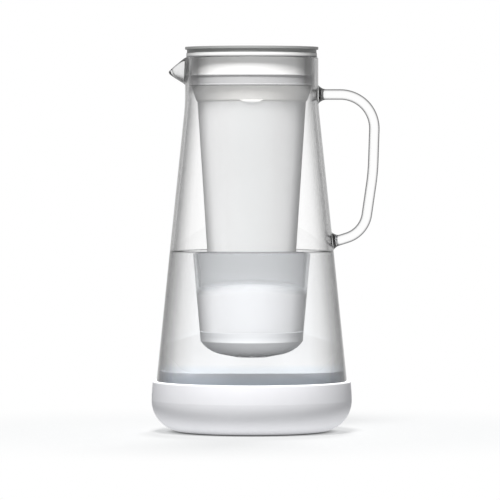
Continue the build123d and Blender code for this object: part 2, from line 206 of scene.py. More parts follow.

# %% [markdown]
# ## The floor
# Near the object the floor is matt and takes its shadow. Rays that see it get some white added, so that
# it meets the background without a line. The light that it gives to the object is set apart from that:
# a glow round the sole lights the boot from below, as a pale table does, and ends well before the
# background. Under the sole both are off, which paints a dark contact shadow round its edge.
# Further out the floor fades to pure white.

# %% Floor
FLOOR_HALF = 6.0
FLOOR_Z = -0.0002
FADE_FROM = 0.14
FADE_TO = 0.34
FLOOR_GREY = 0.18
FLOOR_LIFT = 0.57
FLOOR_TINT = (0.985, 0.995, 1.0)
FLOOR_GLOW = 0.85
FAR_GLOW = 0.08
GLOW_FROM = 0.070
GLOW_TO = 0.115
SOLE_R = 0.049
SOLE_SHADE = 0.012


def fading(tree, value, low, high, first=0.0, last=1.0):
    """An eased change from the first value to the last, between two lengths in metres."""
    limits = {"From Min": low, "From Max": high, "To Min": first, "To Max": last}
    return tree.node("ShaderNodeMapRange", {"interpolation_type": "SMOOTHSTEP"}, {"Value": value, **limits})


floor_mesh = bpy.data.meshes.new("floor")
corners = [(x * FLOOR_HALF, y * FLOOR_HALF, FLOOR_Z) for x, y in ((-1, -1), (1, -1), (1, 1), (-1, 1))]
floor_mesh.from_pydata(corners, [], [(0, 1, 2, 3)])
floor = bpy.data.objects.new("floor", floor_mesh)
bpy.context.scene.collection.objects.link(floor)

floor_paint = bpy.data.materials.new("floor_paint")
floor_paint.use_nodes = True
paint = Tree(floor_paint.node_tree)
spot = paint.node("ShaderNodeTexCoord", output="Object")
from_middle = paint.node("ShaderNodeVectorMath", {"operation": "LENGTH"}, {0: spot}, output="Value")
fade = fading(paint, from_middle, FADE_FROM, FADE_TO)
matt = paint.node("ShaderNodeBsdfDiffuse", {}, {"Color": (FLOOR_GREY, FLOOR_GREY, FLOOR_GREY)})
# Painted contact shadow: the lift and the glow are off just round the sole.
clear_of_painted_contact_shadow = paint.node("ShaderNodeMapRange", {}, {
    "Value": from_middle, "From Min": SOLE_R, "From Max": SOLE_R + SOLE_SHADE,
})
glow = fading(paint, from_middle, GLOW_FROM, GLOW_TO, FLOOR_GLOW, FAR_GLOW)
seen = seen_mask(paint)
strength = clear_of_painted_contact_shadow * (FLOOR_LIFT * seen + glow * (1.0 - seen))
lift = paint.node("ShaderNodeEmission", {}, {"Color": FLOOR_TINT, "Strength": strength})
near = paint.node("ShaderNodeAddShader", {}, {0: matt, 1: lift})
far = paint.node("ShaderNodeEmission", {}, {"Color": PURE_WHITE, "Strength": seen})
floor_look = paint.node("ShaderNodeMixShader", {}, {0: fade, 1: near, 2: far})
paint.node("ShaderNodeOutputMaterial", {}, {"Surface": floor_look})
floor.data.materials.append(floor_paint)
print("floor", 2 * FLOOR_HALF, "m wide")

# %% [markdown]
# ## The lamps
# Round white parts should be bright in the middle and fall off to grey at their sides. So every lamp
# stands close to the middle plane, and none at the side. A soft key lamp hangs high in front and a
# weaker one high behind, and both give the lid and the boot's shoulder their light. A small lamp at
# the camera's side of the table lights the upright walls. Its beam is cut off just above the table,
# so that it adds nothing to the floor.

# %% Lamps
BEAM_EDGE = 0.02
BULB_R = 0.02


def point_lamp(lamp, place, aim):
    """Puts a lamp at a place, aims it and hides it from reflections and glass."""
    lamp.location = place
    lamp.rotation_euler = (Vector(aim) - Vector(place)).to_track_quat("-Z", "Y").to_euler()
    lamp.visible_glossy = False
    lamp.visible_transmission = False
    bpy.context.scene.collection.objects.link(lamp)


def soft_lamp(name, place, aim, width, height, power):
    """A rectangular lamp that points at a place."""
    data = bpy.data.lights.new(name, "AREA")
    data.shape = "RECTANGLE"
    data.size = width
    data.size_y = height
    data.energy = power
    point_lamp(bpy.data.objects.new(name, data), place, aim)


def shaped_lamp(name, place, low_z, high_z, power):
    """A spot whose round beam is cut off below and above these heights on the object."""
    middle, half = (low_z + high_z) / 2, (high_z - low_z) / 2
    data = bpy.data.lights.new(name, "SPOT")
    data.spot_size = 2 * math.atan(half / Vector(place).length)
    data.spot_blend = BEAM_EDGE
    data.shadow_soft_size = BULB_R
    data.energy = power
    point_lamp(bpy.data.objects.new(name, data), place, (0, 0, middle))


soft_lamp("key_lamp", (-0.13, -0.79, 1.58), (0, 0, 0.12), 0.45, 0.5, 48.5)
soft_lamp("back_lamp", (0.15, 1.05, 1.30), (0, 0, 0.1), 0.5, 0.5, 28.0)
shaped_lamp("front_lamp", (0.0, -1.80, 0.30), 0.0225, 0.54, 56.0)
print("lamps", [lamp.name for lamp in bpy.data.lights])

# %% [markdown]
# ## Moulded plastic and silicone
# Clean plastic is never one flat colour. Its grey drifts a little where the mould was cooler, its shine
# varies with handling, and its skin has a fine grain from the mould's steel. One function makes all
# plain mouldings and takes their colour, shine and grain. The filter's cup also gets a paler bottom:
# painted light that brightens the shaded underside of its rounded end.

# %% Moulded helpers
def new_finish(name):
    """A new material and its empty tree."""
    material = bpy.data.materials.new(name)
    material.use_nodes = True
    return material, Tree(material.node_tree)


def coordinate(tree, axis):
    """X, Y or Z of the point in object space."""
    point = tree.node("ShaderNodeTexCoord", output="Object")
    return tree.node("ShaderNodeSeparateXYZ", {}, {"Vector": point}, output=axis)


def noise(tree, size_mm, detail=2.0):
    """Soft noise in object space, with blobs of about this size."""
    point = tree.node("ShaderNodeTexCoord", output="Object")
    values = {"Vector": point, "Scale": 1.0 / (size_mm * MM), "Detail": detail}
    return tree.node("ShaderNodeTexNoise", {"noise_dimensions": "3D"}, values, output="Fac")


def mixed(tree, factor, first, second):
    """A colour between two colours."""
    values = {"Factor": factor, "A": first, "B": second}
    return tree.node("ShaderNodeMix", {"data_type": "RGBA"}, values, output="Result")


def ramp(tree, stops, factor):
    """A colour ramp over a wire."""
    return tree.node("ShaderNodeValToRGB", {"stops": stops}, {"Fac": factor}, output="Color")


def span(tree, value, start_mm, end_mm):
    """0 where the value is at the first length and 1 where it has reached the second."""
    limits = {"From Min": start_mm * MM, "From Max": end_mm * MM}
    return tree.node("ShaderNodeMapRange", {}, {"Value": value, **limits})


def relief(tree, height, depth_mm):
    """A bump of this depth."""
    values = {"Height": height, "Distance": depth_mm * MM, "Strength": 1.0}
    return tree.node("ShaderNodeBump", {}, values)


print("helpers for finishes ready")

# %% Moulded finishes
COOLER = 0.94
DRIFT_MM = 28.0
HANDLING_MM = 9.0
SHINE_SPAN = 0.10


def moulded(name, colour, roughness, grain_mm=0.35, grain_depth_mm=0.012, specular=0.5, bottom=None):
    """Plain moulded plastic or silicone.

    A bottom is a colour of painted light and the two heights between which it comes in.
    """
    material, tree = new_finish(name)
    cooler = tuple(part * COOLER for part in colour)
    # The bottom colour is painted light, mixed in below the given heights.
    if bottom is not None:
        painted_light_colour, start_mm, end_mm = bottom
        colour = mixed(tree, span(tree, coordinate(tree, "Z"), start_mm, end_mm), colour, painted_light_colour)
        cooler = colour
    drift = noise(tree, DRIFT_MM, detail=3.0)
    handling = noise(tree, HANDLING_MM, detail=4.0)
    grain = noise(tree, grain_mm, detail=1.0)
    surface = tree.node("ShaderNodeBsdfPrincipled", {}, {
        "Base Color": mixed(tree, drift, colour, cooler),
        "Roughness": roughness + (handling - 0.5) * SHINE_SPAN,
        "Specular IOR Level": specular,
        "Normal": relief(tree, grain, grain_depth_mm),
    })
    tree.node("ShaderNodeOutputMaterial", {}, {"Surface": surface})
    return material


boot_colour = (0.85, 0.85, 0.875)
boot_skin = moulded("boot_silicone", boot_colour, 0.60, grain_mm=0.5, grain_depth_mm=0.008, specular=0.03)
white_skin = moulded("white_plastic", (0.80, 0.80, 0.79), 0.34, specular=0.3)
lid_colour = (0.29, 0.295, 0.29)
lid_skin = moulded("lid_plastic", lid_colour, 0.40, grain_mm=0.3, grain_depth_mm=0.010, specular=0.3)
filter_skin = moulded("filter_plastic", (0.80, 0.81, 0.825), 0.40, specular=0.3)
# Painted light: paler below 60 mm, brightening the cup's shaded rounded underside.
painted_bottom_light = ((0.97, 0.985, 1.0), 66.0, 60.0)
cup_skin = moulded("cup_plastic", (0.73, 0.74, 0.755), 0.40, specular=0.3, bottom=painted_bottom_light)
soft_seal = moulded("seal_silicone", (0.44, 0.44, 0.445), 0.55, grain_mm=0.25, specular=0.3)
print("mouldings", [material.name for material in bpy.data.materials if material != floor_paint])

# %% [markdown]
# ## Frosted plastic
# The hopper is frosted on its outside. Dry, it scatters the light behind it and hides what it holds.
# Wet, the water fills the frosting and it turns nearly clear. A mix of plastic and clear air says how
# much of each ray the wall stops, so one map of height and angle does both. The wall is opaque where
# the filter's sleeve fills it, and a little denser in its wide top band. A ramp over the angle paints
# light and shade into the dry wall's colour: palest part of the way out, as painted light against the
# front lamp's fall-off, and painted shade at the very edge. The sleeve gets painted light towards its
# sides.

# %% Hopper finish
WATER_Z = 126.3
WET_EDGE = 0.2
BAND_LOW_Z = 230.0
BAND_FULL_Z = 231.5
SLEEVE_TOP_Z = 104.5
SLEEVE_FULL_Z = 98.5
SLEEVE_DOME = 5.7
DRY_STOP = 0.70
WET_STOP = 0.14
EDGE_STOP = 0.25
SLEEVE_STOP = 0.8
BAND_STOP = 0.15
SHADOW_CLEAR = 0.85
# Painted light and shade over the angle: paler part way out, darker at the very edge.
dry_painted_light_and_shade = [(0.0, (0.64, 0.645, 0.645)), (0.12, 0.70), (0.38, 0.88), (0.65, 0.74), (1.0, 0.42)]
# Painted light on the filter's sleeve: paler towards its sides.
sleeve_painted_side_light = [
    (0.0, (0.73, 0.735, 0.75)), (0.1, (0.78, 0.785, 0.80)), (0.3, (0.96, 0.965, 0.98)), (1.0, 0.99),
]
wet_shade = (0.66, 0.665, 0.67)
band_shade = (0.97, 0.96, 0.935)
clear_shade = (0.89, 0.895, 0.90)


def frosted(name):
    """Frosted plastic that clears where it is wet and is opaque round the filter's sleeve."""
    material, tree = new_finish(name)
    height = coordinate(tree, "Z")
    across = coordinate(tree, "X")
    edge = tree.node("ShaderNodeLayerWeight", {}, {"Blend": 0.45}, output="Facing")
    drift = noise(tree, 24.0, detail=3.0)
    frost = noise(tree, 0.25, detail=1.0)
    wet = span(tree, height, WATER_Z + WET_EDGE, WATER_Z - WET_EDGE)
    sleeve = span(tree, height + SLEEVE_DOME * across * across, SLEEVE_TOP_Z, SLEEVE_FULL_Z)
    band = span(tree, height, BAND_LOW_Z, BAND_FULL_Z) * (1.0 - edge)
    dry_stop = DRY_STOP + EDGE_STOP * edge + 0.04 * (drift - 0.5)
    wet_stop = WET_STOP + EDGE_STOP * edge
    stop = dry_stop + (wet_stop - dry_stop) * wet + SLEEVE_STOP * sleeve + BAND_STOP * band
    # The dry colour carries the painted light and shade; the wet colour is flat.
    shade = mixed(tree, wet, ramp(tree, dry_painted_light_and_shade, edge), wet_shade)
    shade = mixed(tree, band, shade, band_shade)
    surface = tree.node("ShaderNodeBsdfPrincipled", {}, {
        "Base Color": mixed(tree, sleeve, shade, ramp(tree, sleeve_painted_side_light, edge)),
        "Roughness": 0.48 + (frost - 0.5) * SHINE_SPAN,
        "Specular IOR Level": 0.3,
        "Normal": relief(tree, frost, 0.010),
    })
    through = tree.node("ShaderNodeBsdfTransparent", {}, {"Color": clear_shade})
    hides = stop.at_most(1.0) * (1.0 - SHADOW_CLEAR * ray_is(tree, "Shadow"))
    look = tree.node("ShaderNodeMixShader", {}, {0: hides, 1: through, 2: surface})
    tree.node("ShaderNodeOutputMaterial", {}, {"Surface": look})
    return material


hopper_skin = frosted("frosted_plastic")
print("frosting clears below", WATER_Z, "mm")

# %% [markdown]
# ## Steel, felt, net, carbon, resin and fibre
# These sit inside the filter and show only when it is taken apart. Each is still finished as what it is.

# %% Inner finishes
NET_PITCH = 0.9


def brushed_steel():
    """A polished pin with fine turning marks."""
    material, tree = new_finish("pin_steel")
    point = tree.node("ShaderNodeTexCoord", output="Object")
    turned = tree.node("ShaderNodeMapping", {}, {"Vector": point, "Scale": (1.0, 9.0, 1.0)})
    values = {"Vector": turned, "Scale": 900.0, "Detail": 2.0}
    marks = tree.node("ShaderNodeTexNoise", {}, values, output="Fac")
    surface = tree.node("ShaderNodeBsdfPrincipled", {}, {
        "Base Color": mixed(tree, marks, (0.62, 0.62, 0.63), (0.70, 0.70, 0.71)),
        "Metallic": 1.0,
        "Roughness": 0.22 + marks * 0.12,
        "Normal": relief(tree, marks, 0.004),
    })
    tree.node("ShaderNodeOutputMaterial", {}, {"Surface": surface})
    return material


def speckled(name, dark, light, size_mm, depth_mm, roughness):
    """Granules or packed fibres: cells of two shades, raised one by one."""
    material, tree = new_finish(name)
    point = tree.node("ShaderNodeTexCoord", output="Object")
    values = {"Vector": point, "Scale": 1.0 / (size_mm * MM)}
    distance = tree.node("ShaderNodeTexVoronoi", {}, values, output="Distance")
    shade = tree.node("ShaderNodeTexVoronoi", {}, values, output="Color")
    lot = tree.node("ShaderNodeSeparateColor", {}, {"Color": shade}, output="Red")
    surface = tree.node("ShaderNodeBsdfPrincipled", {}, {
        "Base Color": mixed(tree, lot, dark, light),
        "Roughness": roughness + 0.15 * (lot - 0.5),
        "Normal": relief(tree, 1.0 - distance, depth_mm),
    })
    tree.node("ShaderNodeOutputMaterial", {}, {"Surface": surface})
    return material


def woven_net():
    """A fine woven plastic net with open holes."""
    material, tree = new_finish("filter_net")
    turns = 2 * math.pi / (NET_PITCH * MM)
    warp, weft = [tree.maths("COSINE", coordinate(tree, axis) * turns) for axis in "XY"]
    threads = warp.at_least(weft)
    solid = tree.node("ShaderNodeMapRange", {}, {"Value": threads, "From Min": 0.35, "From Max": 0.55})
    surface = tree.node("ShaderNodeBsdfPrincipled", {}, {
        "Base Color": mixed(tree, noise(tree, 6.0), (0.80, 0.80, 0.79), (0.74, 0.74, 0.73)),
        "Roughness": 0.45,
        "Alpha": solid,
        "Normal": relief(tree, threads, 0.15),
    })
    tree.node("ShaderNodeOutputMaterial", {}, {"Surface": surface})
    return material


pin_steel = brushed_steel()
carbon_grain = speckled("carbon_grain", (0.012, 0.012, 0.013), (0.045, 0.045, 0.048), 0.9, 0.45, 0.60)
felt_fibre = speckled("felt_fibre", (0.74, 0.74, 0.72), (0.84, 0.84, 0.82), 0.35, 0.12, 0.85)
fibre_strand = speckled("hollow_fibre", (0.78, 0.78, 0.76), (0.90, 0.90, 0.88), 0.6, 0.30, 0.55)
resin_skin = moulded("potting_resin", (0.74, 0.70, 0.58), 0.18, grain_mm=1.2, grain_depth_mm=0.004)
net_thread = woven_net()
print("finishes so far", len(bpy.data.materials))

# %% [markdown]
# ## Clear glass and water
# Both are real refracting bodies, so the jug bends what stands behind it and the water makes the
# filter look wider. Light for the plastic inside would need long paths through them, so lamps and soft
# light pass straight through, and only the rays that see are bent. At a grazing angle Layer Weight
# darkens their colour: a painted reflection of a dark studio, which the white room doesn't have. In
# the neck, where the glass stands upright, this painted shade comes in sooner. The handle's solid rod
# has its own, darker painted edge, as it bends light more than a thin wall. The thick foot gets a faint
# blue.

# %% The glass in numbers
RIM_Z = 262.0
RIM_R = 46.6
NECK_LOW_Z = 229.0
CONE_MID_Z = 131.0
CONE_MID_R = 56.9
GLASS_LOW_Z = 24.0
GLASS_LOW_R = 67.9
FOOT_R = 19.0
GLASS_WALL = 2.4
GLASS_BOTTOM_Z = 3.0
GLASS_FLOOR_Z = 7.0
print("jug", RIM_Z, "mm to its rim,", 2 * RIM_R, "mm across its mouth")

# %% Clear finishes
ROD_FROM = 0.8
ROD_FULL = 1.6
NECK_PAINTED_SHADE_LOW_Z = 236.0
NECK_PAINTED_SHADE_FULL_Z = 243.0
NECK_PAINTED_SHADE = 0.75
NECK_PAINTED_SHADE_LIMIT = 0.72
FOOT_TINT_TOP_Z = 42.0
FOOT_TINT_FULL_Z = 38.0
foot_tint = (0.945, 0.972, 1.0)
straight_tint = (0.998, 0.998, 0.998)


def clear_body(name, ior, wall_stops, rod_stops, waviness_mm, wave_size_mm):
    """Glass or water. The stops give its painted edge shade as the surface turns away from the eye."""
    material, tree = new_finish(name)
    edge = tree.node("ShaderNodeLayerWeight", {}, {"Blend": 0.5}, output="Facing")
    x, y, z = [coordinate(tree, axis) for axis in "XYZ"]
    reach = (x * x + y * y) ** 0.5
    cone = CONE_MID_R * MM - (z - CONE_MID_Z * MM) * ((CONE_MID_R - RIM_R) / (NECK_LOW_Z - CONE_MID_Z))
    on_rod = span(tree, reach - cone.at_least(RIM_R * MM), ROD_FROM, ROD_FULL)
    # Painted shade: the darker glass edge comes in sooner in the neck.
    neck = 1.0 + NECK_PAINTED_SHADE * span(tree, z, NECK_PAINTED_SHADE_LOW_Z, NECK_PAINTED_SHADE_FULL_Z)
    neck_edge = (edge * neck).at_most(NECK_PAINTED_SHADE_LIMIT).at_least(edge)
    low = span(tree, z, FOOT_TINT_TOP_Z, FOOT_TINT_FULL_Z)
    multiply = {"data_type": "RGBA", "blend_type": "MULTIPLY"}
    layers = {"Factor": low, "A": ramp(tree, wall_stops, neck_edge), "B": foot_tint}
    wall_painted_shade_and_foot_tint = tree.node("ShaderNodeMix", multiply, layers, output="Result")
    surface = tree.node("ShaderNodeBsdfPrincipled", {}, {
        "Base Color": mixed(tree, on_rod, wall_painted_shade_and_foot_tint, ramp(tree, rod_stops, edge)),
        "Roughness": 0.0,
        "IOR": ior,
        "Transmission Weight": 1.0,
        "Normal": relief(tree, noise(tree, wave_size_mm, detail=1.0), waviness_mm),
    })
    straight = tree.node("ShaderNodeBsdfTransparent", {}, {"Color": straight_tint})
    passes = (ray_is(tree, "Shadow") + ray_is(tree, "Diffuse")).at_most(1.0)
    look = tree.node("ShaderNodeMixShader", {}, {0: passes, 1: surface, 2: straight})
    tree.node("ShaderNodeOutputMaterial", {}, {"Surface": look})
    return material


# Painted reflection: each body darkens towards grazing angles.
glass_painted_edge_shade = [(0.0, 1.0), (0.26, 1.0), (0.40, 0.90), (0.58, 0.52), (0.75, 0.10), (1.0, 0.0)]
handle_painted_edge_shade = [(0.0, 1.0), (0.12, 0.98), (0.26, 0.72), (0.38, 0.20), (0.52, 0.02), (1.0, 0.0)]
water_painted_edge_shade = [
    (0.0, (0.98, 0.99, 1.0)), (0.10, (0.94, 0.95, 0.96)),
    (0.155, 0.74), (0.215, 0.44), (0.30, 0.30), (1.0, 0.2),
]
jug_glass = clear_body("jug_glass", 1.47, glass_painted_edge_shade, handle_painted_edge_shade, 0.02, 35.0)
fresh_water = clear_body("fresh_water", 1.33, water_painted_edge_shade, water_painted_edge_shade, 0.005, 40.0)
print("clear bodies", jug_glass.name, fresh_water.name)

# %% [markdown]
# ## The glass jug
# The jug is blown into a mould, so it is a turned shape, and its spout is pinched while the rim is
# soft. A turned mesh could have the spout cut into it, but the pinch would then have hard edges. Here
# each upright column of points gets its own profile. Columns near the spout lean out and end lower,
# and a few passes of averaging melt them into the neck.

# %% The jug's profile
BOOT_CLEARANCE = 0.08
COLUMNS = 240
WALL_EASE = 5.0
EASE_STEPS = 8
PAST_WALL = 40


def lerp(low, high, part):
    """The value at this part of the way from low to high."""
    return low + (high - low) * part


def smooth_step(low, high, value):
    """0 below low, 1 above high and an eased change between them."""
    part = min(1.0, max(0.0, (value - low) / (high - low)))
    return part * part * (3 - 2 * part)


def wall_radius(z):
    """Outside radius of the plain wall, with its two bends eased."""
    knots = [(GLASS_LOW_Z - PAST_WALL, GLASS_LOW_R), (GLASS_LOW_Z, GLASS_LOW_R), (CONE_MID_Z, CONE_MID_R),
             (NECK_LOW_Z, RIM_R), (RIM_Z + PAST_WALL, RIM_R)]
    total = 0.0
    for step in range(EASE_STEPS):
        at = z + WALL_EASE * ((step + 0.5) / EASE_STEPS * 2 - 1)
        for (low_z, low_r), (high_z, high_r) in zip(knots, knots[1:]):
            if low_z <= at <= high_z:
                total += lerp(low_r, high_r, (at - low_z) / (high_z - low_z))
                break
    return total / EASE_STEPS


print("wall radius at the foot, middle and neck", [round(wall_radius(z), 2) for z in (24, 131, 250)])

# %% The spout
SPOUT_TIP_X = 58.4
SPOUT_TIP_Z = 252.6
SPOUT_RISE = 0.80
SPOUT_FALL = 0.60
SPOUT_SPREAD = 0.78
SPOUT_NOSE = 1.6
SPOUT_STEPS = 240


def in_spout(reach, angle, z):
    """True where a point at this reach, angle from the spout and height is in the filled beak."""
    run = SPOUT_TIP_X - reach * math.cos(angle)
    if run < 0:
        return False
    half_width = SPOUT_NOSE + SPOUT_SPREAD * run
    depth = SPOUT_NOSE + (SPOUT_RISE + SPOUT_FALL) * run
    below_lip = SPOUT_TIP_Z + SPOUT_RISE * run - z
    across = reach * math.sin(angle)
    return below_lip >= -1e-6 and (across / half_width) ** 2 + (below_lip / depth) ** 2 <= 1.0


def spout_reach(angle, z):
    """How far the beak reaches at this angle and height, or 0."""
    far = SPOUT_TIP_X / math.cos(angle)
    for step in range(SPOUT_STEPS):
        reach = lerp(far, RIM_R - 1.0, step / (SPOUT_STEPS - 1))
        if in_spout(reach, angle, z):
            return reach
    return 0.0


def column_top(angle):
    """Height of the rim on this column: lower along the spout's lips."""
    reach = (SPOUT_NOSE + SPOUT_SPREAD * SPOUT_TIP_X) / (math.sin(angle) + SPOUT_SPREAD * math.cos(angle))
    reach = min(reach, SPOUT_TIP_X / math.cos(angle))
    lip = SPOUT_TIP_Z + SPOUT_RISE * (SPOUT_TIP_X - reach * math.cos(angle))
    return min(RIM_Z, lip)


print("rim at the spout's tip", column_top(0.0), "mm")

# %% The jug's wall
WALL_ROWS = 110
UPPER_ROWS = 44
MELT_ROWS = 50
SPOUT_START_Z = 232.0
SPOUT_HALF_ANGLE = math.radians(32)


def row_height(row, top):
    """Height of a row of the wall. Rows close up under a lowered rim."""
    lower_rows = WALL_ROWS - UPPER_ROWS
    if row <= lower_rows:
        return lerp(FOOT_R + GLASS_BOTTOM_Z, SPOUT_START_Z, row / lower_rows)
    return lerp(SPOUT_START_Z, top - GLASS_WALL / 2, (row - lower_rows) / UPPER_ROWS)


def wall_grid():
    """Radius and height of every point of the outside wall."""
    radii, heights = [], []
    for column in range(COLUMNS):
        turn = 2 * math.pi * column / COLUMNS
        angle = abs(turn - math.pi)
        near_spout = angle < SPOUT_HALF_ANGLE
        top = column_top(angle) if near_spout else RIM_Z
        column_radii, column_heights = [], []
        for row in range(WALL_ROWS + 1):
            z = row_height(row, top)
            reach = wall_radius(z)
            if near_spout and z > SPOUT_START_Z:
                reach = max(reach, spout_reach(angle, min(z + GLASS_WALL / 2, top)))
            column_radii.append(reach)
            column_heights.append(z)
        radii.append(column_radii)
        heights.append(column_heights)
    return radii, heights


def melt(grid, passes):
    """Averages each point of the upper wall with its neighbours."""
    for _ in range(passes):
        before = [list(column) for column in grid]
        for column in range(COLUMNS):
            left, right = before[column - 1], before[(column + 1) % COLUMNS]
            here = before[column]
            for row in range(WALL_ROWS - MELT_ROWS, WALL_ROWS + 1):
                above = here[min(row + 1, WALL_ROWS)]
                around = (left[row] + right[row] + here[row - 1] + above) / 4
                grid[column][row] = 0.5 * here[row] + 0.5 * around


wall_radii, wall_heights = wall_grid()
melt(wall_radii, 5)
melt(wall_heights, 2)
print("spout reaches", round(max(map(max, wall_radii[COLUMNS // 2 - 3:COLUMNS // 2 + 4])), 2), "mm")

# %% The jug's columns
ARC_STEPS = 14
LIP_STEPS = 8
BOOT_TOP_FROM = 34
BOOT_TOP_TO = 40
SOLE_TOP_Z = 12


def foot_arc(centre_r, centre_z, radius):
    """Points of the foot's rounded corner from the flat bottom up to the wall."""
    quarter = [math.pi / 2 * step / ARC_STEPS for step in range(ARC_STEPS)]
    return [(centre_r + radius * math.sin(turn), centre_z - radius * math.cos(turn)) for turn in quarter]


def column_profile(column):
    """All points of one column: out along the bottom, up, over the rim and down the inside."""
    foot_r = GLASS_LOW_R - FOOT_R
    inner_corner = FOOT_R - GLASS_WALL
    outside = [(foot_r * part, GLASS_BOTTOM_Z) for part in (0.25, 0.5, 0.75)]
    outside += foot_arc(foot_r, GLASS_BOTTOM_Z + FOOT_R, FOOT_R)
    outside += list(zip(wall_radii[column], wall_heights[column]))
    rim_r, rim_z = outside[-1]
    half = GLASS_WALL / 2
    turns = [math.pi * step / LIP_STEPS for step in range(1, LIP_STEPS)]
    lip = [(rim_r - half + half * math.cos(turn), rim_z + half * math.sin(turn)) for turn in turns]
    inside = [(radius - GLASS_WALL, z) for radius, z in zip(wall_radii[column], wall_heights[column])]
    inside = [point for point in inside if point[1] > GLASS_FLOOR_Z + inner_corner][::-1]
    inside += foot_arc(foot_r, GLASS_FLOOR_Z + inner_corner, inner_corner)[::-1]
    inside += [(foot_r * part, GLASS_FLOOR_Z) for part in (0.75, 0.5, 0.25)]
    return outside + lip + inside


def clear_of_boot(profile):
    """Draws the outside in by a hair where the boot grips it, so that the two skins never touch."""
    for index, (radius, z) in enumerate(profile[:len(profile) // 2]):
        gap = BOOT_CLEARANCE * (1 - smooth_step(BOOT_TOP_FROM, BOOT_TOP_TO, z))
        profile[index] = (radius - gap, z + (gap if z < SOLE_TOP_Z else 0))
    return profile


jug_profiles = [clear_of_boot(column_profile(column)) for column in range(COLUMNS)]
print("jug", COLUMNS, "columns of", len(jug_profiles[0]), "points")

# %% The jug's mesh
def turned_mesh(name, profiles, bottom_z, top_z):
    """A closed smooth mesh from one profile for each column, with a pole at each end."""
    made = bmesh.new()
    count = len(profiles)
    rings = []
    for index, profile in enumerate(profiles):
        turn = 2 * math.pi * index / count
        points = [(r * math.cos(turn) * MM, r * math.sin(turn) * MM, z * MM) for r, z in profile]
        rings.append([made.verts.new(point) for point in points])
    start = made.verts.new((0, 0, bottom_z * MM))
    end = made.verts.new((0, 0, top_z * MM))
    for index in range(count):
        here, beside = rings[index], rings[(index + 1) % count]
        made.faces.new((start, beside[0], here[0]))
        for low in range(len(here) - 1):
            made.faces.new((here[low], beside[low], beside[low + 1], here[low + 1]))
        made.faces.new((here[-1], beside[-1], end))
    bmesh.ops.recalc_face_normals(made, faces=made.faces)
    mesh = bpy.data.meshes.new(name)
    made.to_mesh(mesh)
    made.free()
    mesh.shade_smooth()
    return mesh


def placed(name, mesh, material):
    """An object at the origin with this mesh and material."""
    piece = bpy.data.objects.new(name, mesh)
    bpy.context.scene.collection.objects.link(piece)
    mesh.materials.clear()
    mesh.materials.append(material)
    return piece


jug_mesh = turned_mesh("jug_body", jug_profiles, GLASS_BOTTOM_Z + BOOT_CLEARANCE, GLASS_FLOOR_Z)
jug = placed("jug_body", jug_mesh, jug_glass)
print("jug mesh", len(jug_mesh.polygons), "faces")

# %% [markdown]
# ## The handle
# The handle is a solid glass rod, bent hot and welded on. Where it touches the wall the melted glass
# spreads into a foot. A rod that follows a path suits Geometry Nodes: a Bezier curve gives the bends,
# and the tree sweeps a circle along it whose radius grows near both ends.

# %% The handle's path
CURVE_STEPS = 24
rod_points = [
    (45.9, 235.8), (72.5, 235.8), (86.1, 221.0), (84.8, 181.0), (78.8, 139.5), (61.5, 133.9), (55.7, 133.2),
]
rod_bends = [24.0, 24.0, 150.0, 20.0, 16.0]


def bend_curve(name, points, radii):
    """A Bezier curve with straight runs between rounded corners, in the XZ plane."""
    places = [Vector((x, 0.0, z)) for x, z in points]
    knots = [(places[0], None, None)]
    for before, corner, after, radius in zip(places, places[1:], places[2:], radii):
        back, ahead = (before - corner).normalized(), (after - corner).normalized()
        turn = math.pi - back.angle(ahead)
        reach = radius * math.tan(turn / 2)
        pull = radius * 4 / 3 * math.tan(turn / 4)
        enter, leave = corner + back * reach, corner + ahead * reach
        knots.append((enter, None, enter - back * pull))
        knots.append((leave, leave - ahead * pull, None))
    knots.append((places[-1], None, None))
    data = bpy.data.curves.new(name, "CURVE")
    data.dimensions = "3D"
    data.resolution_u = CURVE_STEPS
    spline = data.splines.new("BEZIER")
    spline.bezier_points.add(len(knots) - 1)
    for index, (point, (place, left, right)) in enumerate(zip(spline.bezier_points, knots)):
        point.handle_left_type = point.handle_right_type = "FREE"
        previous = knots[index - 1][0] if index else place
        following = knots[index + 1][0] if index + 1 < len(knots) else place
        point.co = place * MM
        point.handle_left = (left if left is not None else place.lerp(previous, 1 / 3)) * MM
        point.handle_right = (right if right is not None else place.lerp(following, 1 / 3)) * MM
    return data


rod_path = bpy.data.objects.new("rod_path", bend_curve("rod_path", rod_points, rod_bends))
bpy.context.scene.collection.objects.link(rod_path)
print("handle path", len(rod_points), "corners")

# %% The handle's tree
ROD_R = 3.7
WELD_R = 7.4
WELD_LENGTH = 6.5
WELD_FLARE = 2.2
ROD_STEP = 0.9
ROD_SIDES = 40


